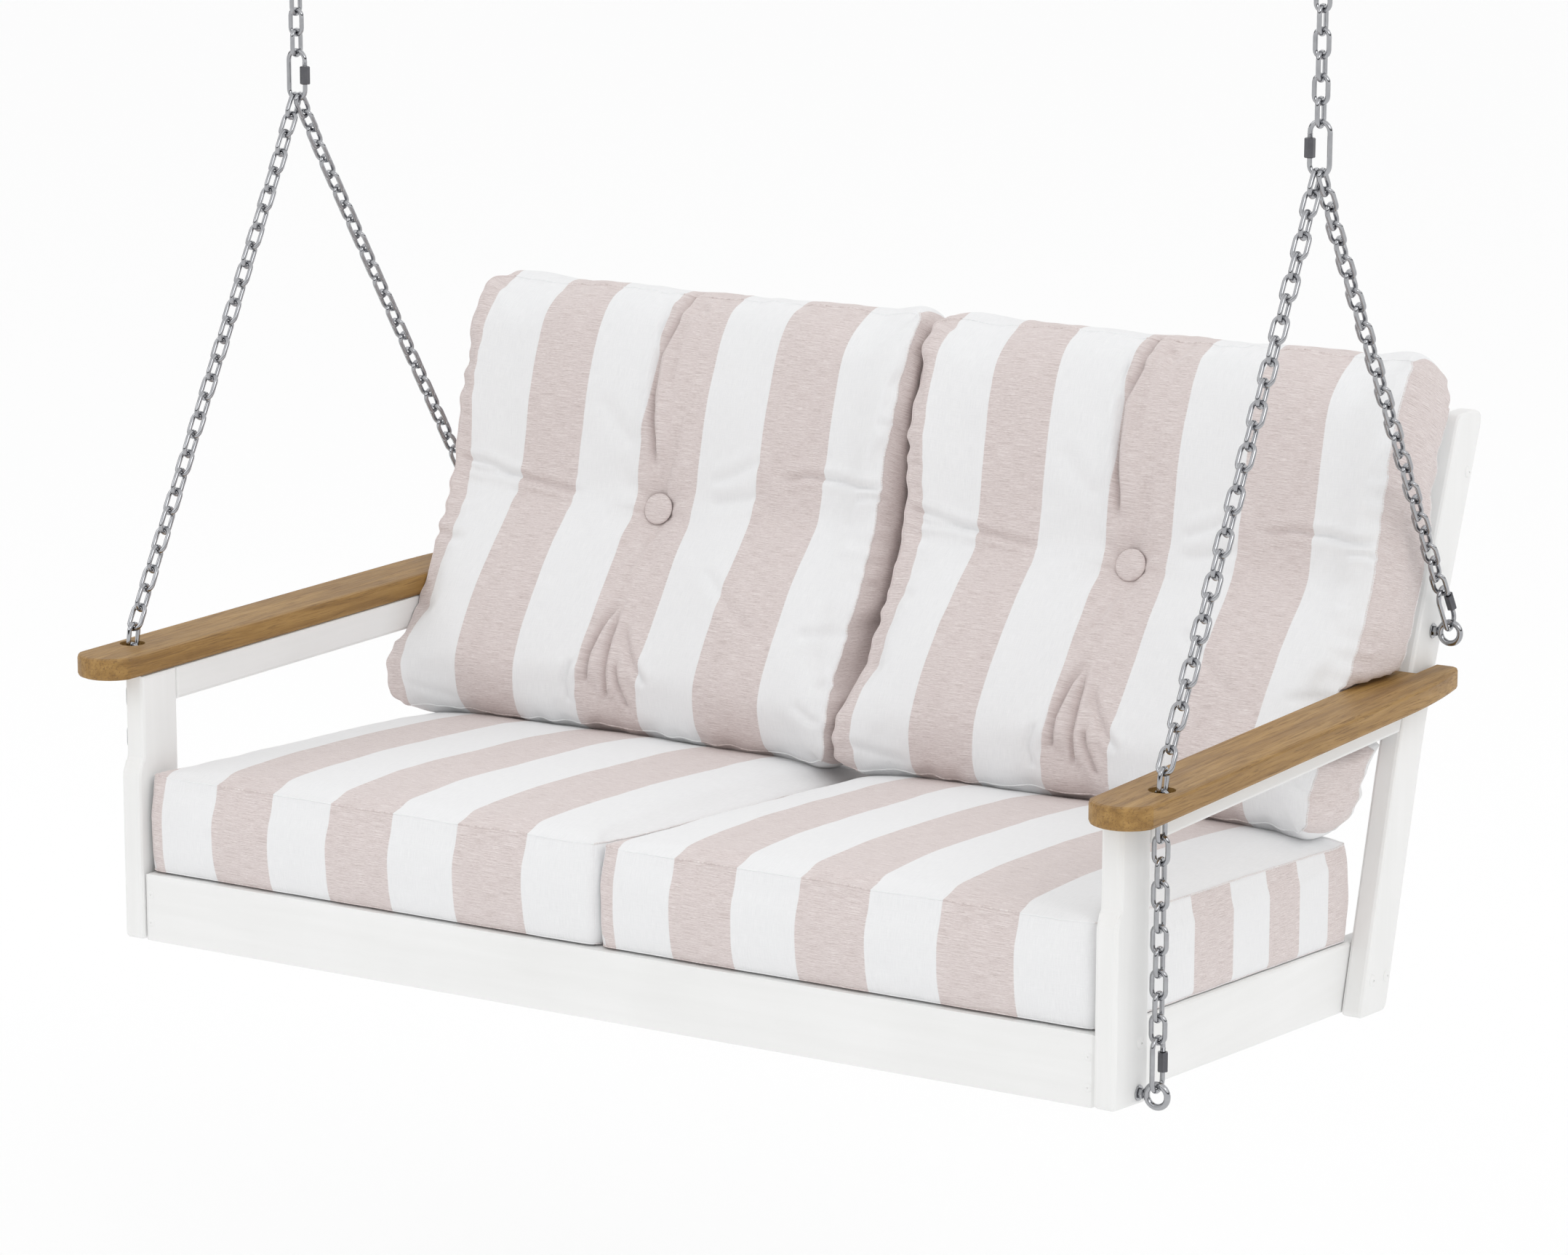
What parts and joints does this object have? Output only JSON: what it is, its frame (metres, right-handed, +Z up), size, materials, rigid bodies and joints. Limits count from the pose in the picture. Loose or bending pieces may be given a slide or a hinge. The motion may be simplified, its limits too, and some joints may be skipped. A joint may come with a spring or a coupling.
{
  "type": "porch swing seat",
  "caption": "Wide hanging garden seat: a white board frame with brown arms, box seat cushions and buttoned back cushions, hung by chains and quick links from ceiling hooks.",
  "frame": {"origin": "on the ceiling, midway between the two hanger plates", "axes": "+Z up, +X along the bench to the right as seen from the front, +Y towards its back"},
  "size_m": [1.416, 0.8979, 1.238],
  "materials": {
    "white_board": "satin white recycled-plastic lumber with rounded edges",
    "arm_board": "brown plastic lumber with a printed, streaky wood grain",
    "striped_fabric": "woven outdoor cloth, white with wide pale blush stripes",
    "button_fabric": "button covered in the same blush cloth",
    "bright_steel": "bright zinc-plated or stainless steel hardware"
  },
  "bodies": {
    "ceiling_hangers": {"ceiling_hanger_left": "bright_steel", "ceiling_hanger_right": "bright_steel"},
    "top_link_left": {"top_link_left": "bright_steel"},
    "top_link_right": {"top_link_right": "bright_steel"},
    "upper_chain_left": {"upper_chain_left": "bright_steel"},
    "upper_chain_right": {"upper_chain_right": "bright_steel"},
    "apex_link_left": {"quick_link_apex_left": "bright_steel"},
    "apex_link_right": {"quick_link_apex_right": "bright_steel"},
    "seat": {"seat_slat_1": "white_board", "seat_slat_2": "white_board", "seat_slat_3": "white_board", "seat_slat_4": "white_board", "seat_slat_5": "white_board", "slat_cleat_left": "white_board", "slat_cleat_right": "white_board", "seat_cushion_left": "striped_fabric", "seat_cushion_right": "striped_fabric", "back_slat_1": "white_board", "back_slat_2": "white_board", "back_slat_3": "white_board", "back_slat_4": "white_board", "back_slat_5": "white_board", "back_slat_6": "white_board", "top_back_rail": "white_board", "rear_seat_rail": "white_board", "front_leg_left": "white_board", "back_post_left": "white_board", "side_rail_left": "white_board", "arm_rail_left": "white_board", "arm_left": "arm_board", "front_leg_right": "white_board", "back_post_right": "white_board", "side_rail_right": "white_board", "arm_rail_right": "white_board", "arm_right": "arm_board", "front_apron": "white_board", "centre_stretcher": "white_board", "back_cushion_left": "striped_fabric", "cushion_button_left": "button_fabric", "back_cushion_right": "striped_fabric", "cushion_button_right": "button_fabric", "quick_link_front_left": "bright_steel", "quick_link_rear_left": "bright_steel", "front_chain_left": "bright_steel", "rear_chain_left": "bright_steel", "eye_bolt_front_left": "bright_steel", "eye_bolt_rear_left": "bright_steel", "quick_link_front_right": "bright_steel", "quick_link_rear_right": "bright_steel", "front_chain_right": "bright_steel", "rear_chain_right": "bright_steel", "eye_bolt_front_right": "bright_steel", "eye_bolt_rear_right": "bright_steel"},
    "sleeve_nut_apex_left": {"sleeve_nut_apex_left": "bright_steel"},
    "sleeve_nut_front_left": {"sleeve_nut_front_left": "bright_steel"},
    "sleeve_nut_rear_left": {"sleeve_nut_rear_left": "bright_steel"},
    "sleeve_nut_apex_right": {"sleeve_nut_apex_right": "bright_steel"},
    "sleeve_nut_front_right": {"sleeve_nut_front_right": "bright_steel"},
    "sleeve_nut_rear_right": {"sleeve_nut_rear_right": "bright_steel"}
  },
  "joints": [
    {"name": "swing", "type": "hinge", "parent": "ceiling_hangers", "child": "top_link_left", "pos_m": [-0.662, 0, -0.051], "axis": [1, 0, 0], "range_deg": [-25, 25]},
    {"name": "sway", "type": "hinge", "parent": "top_link_left", "child": "upper_chain_left", "pos_m": [-0.662, 0, -0.07365], "axis": [0, 1, 0], "range_deg": [-10, 10]},
    {"name": "apex_level_left", "type": "hinge", "parent": "upper_chain_left", "child": "apex_link_left", "pos_m": [-0.662, 0, -0.21765], "axis": [0, 1, 0], "range_deg": [-10, 10]},
    {"name": "seat_tilt", "type": "hinge", "parent": "apex_link_left", "child": "seat", "pos_m": [-0.662, 0, -0.26905], "axis": [1, 0, 0], "range_deg": [-12, 12]},
    {"name": "swing_right", "type": "hinge", "parent": "ceiling_hangers", "child": "top_link_right", "pos_m": [0.662, 0, -0.051], "axis": [1, 0, 0], "range_deg": [-25, 25]},
    {"name": "sway_right", "type": "hinge", "parent": "top_link_right", "child": "upper_chain_right", "pos_m": [0.662, 0, -0.07365], "axis": [0, 1, 0], "range_deg": [-10, 10]},
    {"name": "apex_level_right", "type": "hinge", "parent": "upper_chain_right", "child": "apex_link_right", "pos_m": [0.662, 0, -0.21765], "axis": [0, 1, 0], "range_deg": [-10, 10]},
    {"name": "apex_sleeve_left", "type": "slide", "parent": "apex_link_left", "child": "sleeve_nut_apex_left", "axis": [0, 0, 1], "range_m": [0, 0.008]},
    {"name": "front_sleeve_left", "type": "slide", "parent": "seat", "child": "sleeve_nut_front_left", "axis": [0, 0, 1], "range_m": [0, 0.008]},
    {"name": "rear_sleeve_left", "type": "slide", "parent": "seat", "child": "sleeve_nut_rear_left", "axis": [0, -0.5536, 0.8328], "range_m": [0, 0.008]},
    {"name": "apex_sleeve_right", "type": "slide", "parent": "apex_link_right", "child": "sleeve_nut_apex_right", "axis": [0, 0, 1], "range_m": [0, 0.008]},
    {"name": "front_sleeve_right", "type": "slide", "parent": "seat", "child": "sleeve_nut_front_right", "axis": [0, 0, 1], "range_m": [0, 0.008]},
    {"name": "rear_sleeve_right", "type": "slide", "parent": "seat", "child": "sleeve_nut_rear_right", "axis": [0, -0.5536, 0.8328], "range_m": [0, 0.008]}
  ],
  "couplings": [
    {"joint": "swing_right", "follows": "swing", "ratio": 1},
    {"joint": "sway_right", "follows": "sway", "ratio": 1},
    {"joint": "apex_level_left", "follows": "sway", "ratio": -1},
    {"joint": "apex_level_right", "follows": "sway", "ratio": -1}
  ]
}
